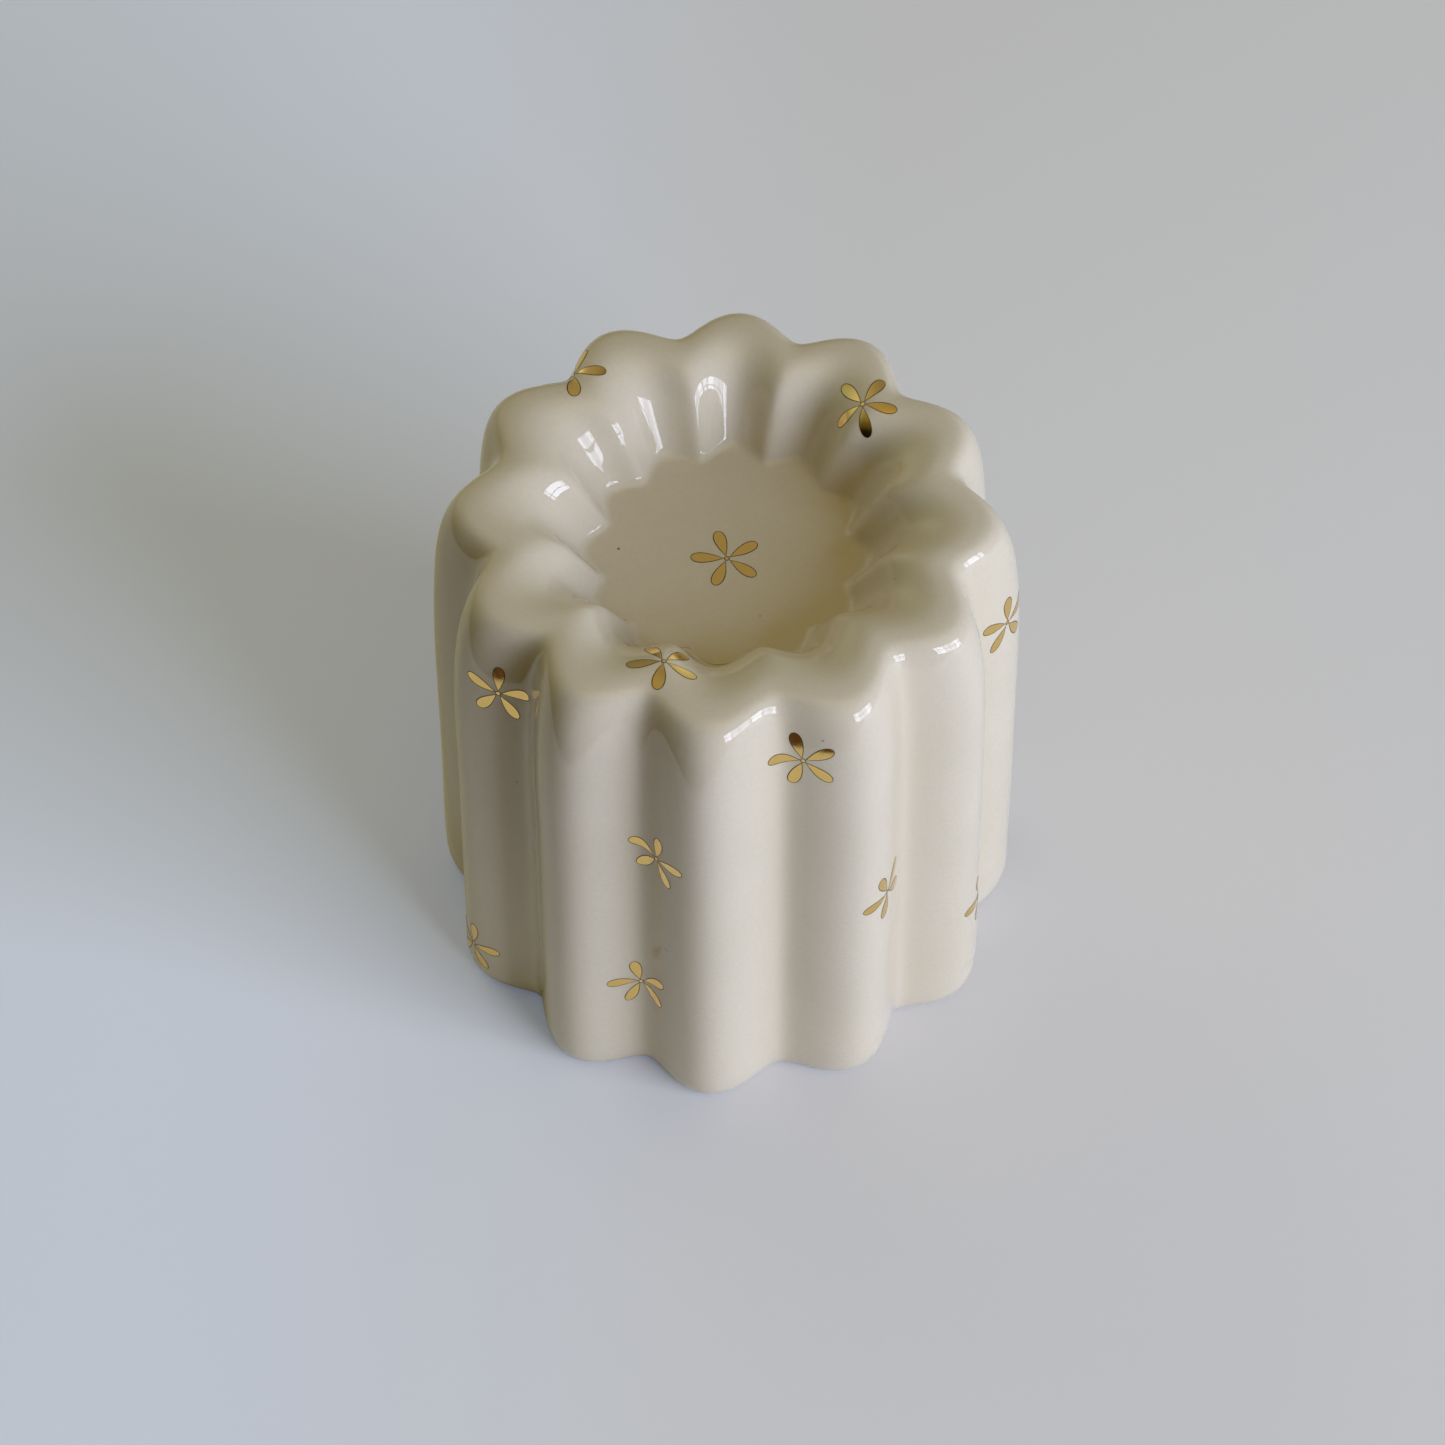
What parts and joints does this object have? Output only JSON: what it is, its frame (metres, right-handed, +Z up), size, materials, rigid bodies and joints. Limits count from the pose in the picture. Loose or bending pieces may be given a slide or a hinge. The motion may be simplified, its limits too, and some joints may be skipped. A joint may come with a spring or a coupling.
{
  "type": "canele-shaped ceramic tealight holder",
  "caption": "Glazed ceramic tealight holder in the shape of a fluted canele cake: a fluted pillar with a broad soft rim round a shallow well with a flat floor.",
  "frame": {"origin": "middle of the flat base, on the surface that the holder stands on", "axes": "+Z up along the holder's axis; +X, +Y, -X and -Y each run through the middle of a lobe"},
  "size_m": [0.0938, 0.0938, 0.0929],
  "materials": {
    "ivory_glaze": "gloss"
  },
  "bodies": {
    "root": {"canele_body": "ivory_glaze"}
  },
  "joints": []
}
